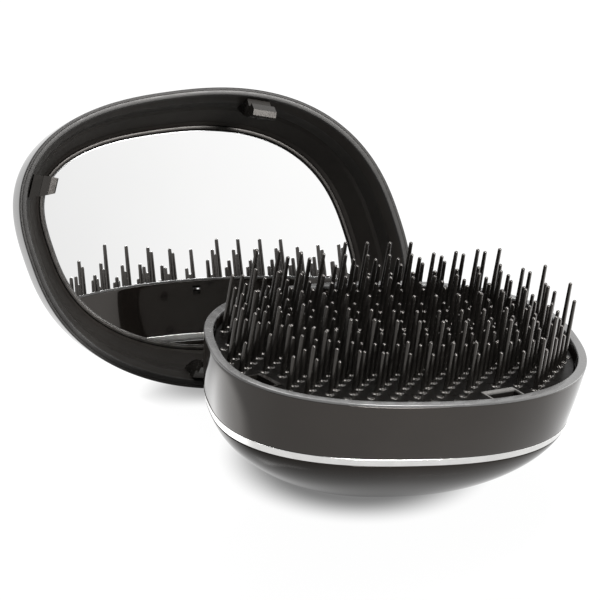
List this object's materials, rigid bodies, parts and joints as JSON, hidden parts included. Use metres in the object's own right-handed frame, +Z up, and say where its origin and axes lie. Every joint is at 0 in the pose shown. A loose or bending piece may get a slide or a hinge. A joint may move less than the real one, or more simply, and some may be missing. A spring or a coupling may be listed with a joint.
{
  "type": "compact detangling hairbrush with mirror lid",
  "caption": "Palm-sized egg-shaped detangling hairbrush with long and short bristles; its clip-on lid, with a vanity mirror inside, stands behind it.",
  "frame": {"origin": "centre of the bounding box on the floor, with the brush in front and its lid standing behind", "axes": "+X along the bristle rows towards the lower end of the brush, +Y from the brush back to the lid, +Z up"},
  "size_m": [0.1072, 0.118, 0.0646],
  "materials": {
    "satin_lip": "satin",
    "band_gloss": "gloss",
    "trim_silver": "satin metallised",
    "shell_gloss": "gloss",
    "pad_black": "semi-gloss",
    "core_black": "matt",
    "screw_steel": "satin",
    "catch_black": "satin",
    "lid_gloss": "gloss",
    "liner_matte": "fine texture",
    "frame_black": "gloss",
    "mirror_face": "mirror",
    "tape_white": "matt",
    "hook_black": "satin"
  },
  "bodies": {
    "brush": {"rim_bezel": "satin_lip", "side_band": "band_gloss", "trim_ring": "trim_silver", "bottom_shell": "shell_gloss", "bristle_pad": "pad_black", "core_frame": "core_black", "core_screws": "screw_steel", "front_catch": "catch_black", "back_catch": "catch_black", "left_catch": "catch_black"},
    "lid": {"lid_shell": "lid_gloss", "lid_liner": "liner_matte", "mirror_frame": "frame_black", "mirror_glass": "mirror_face", "mirror_tape": "tape_white", "liner_screws": "screw_steel", "front_hook": "hook_black", "back_hook": "hook_black", "left_hook": "hook_black"}
  },
  "joints": [
    {"name": "lid_lift", "type": "slide", "parent": "brush", "child": "lid", "axis": [0, 0, 1], "range_m": [0, 0.12]}
  ]
}
